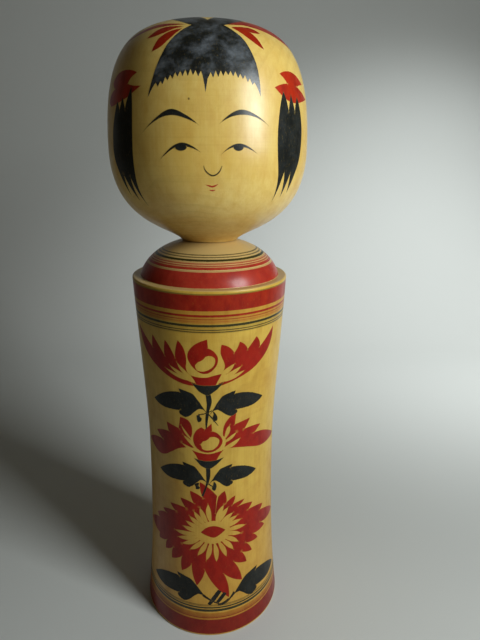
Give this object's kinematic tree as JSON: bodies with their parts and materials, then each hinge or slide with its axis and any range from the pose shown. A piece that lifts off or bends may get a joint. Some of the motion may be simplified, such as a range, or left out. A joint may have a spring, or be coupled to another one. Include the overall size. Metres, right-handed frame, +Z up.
{
  "type": "kokeshi doll",
  "caption": "Tall lathe-turned wooden doll with a painted flowered body and a round head that turns on its neck tenon.",
  "frame": {"origin": "centre of the flat base on the floor", "axes": "+Z up the turning axis from base to crown, -Y towards the face, +X to the viewer's right when facing the doll"},
  "size_m": [0.1344, 0.1344, 0.45],
  "materials": {
    "body_wood": "turned fine-grained hardwood, waxed to a satin gloss and yellowed with age",
    "head_wood": "turned fine-grained hardwood, waxed to a satin gloss and yellowed with age",
    "black_paint": "black ink brushed on the bare wood under the wax",
    "red_paint": "transparent red dye brushed on the bare wood under the wax",
    "green_paint": "dark green dye laid on the turning wood under the wax"
  },
  "bodies": {
    "body": {"body": "body_wood"},
    "head": {"head": "head_wood"}
  },
  "joints": [
    {"name": "head_turn", "type": "hinge", "parent": "body", "child": "head", "pos_m": [0, 0, 0.3], "axis": [0, 0, 1], "continuous": true}
  ]
}
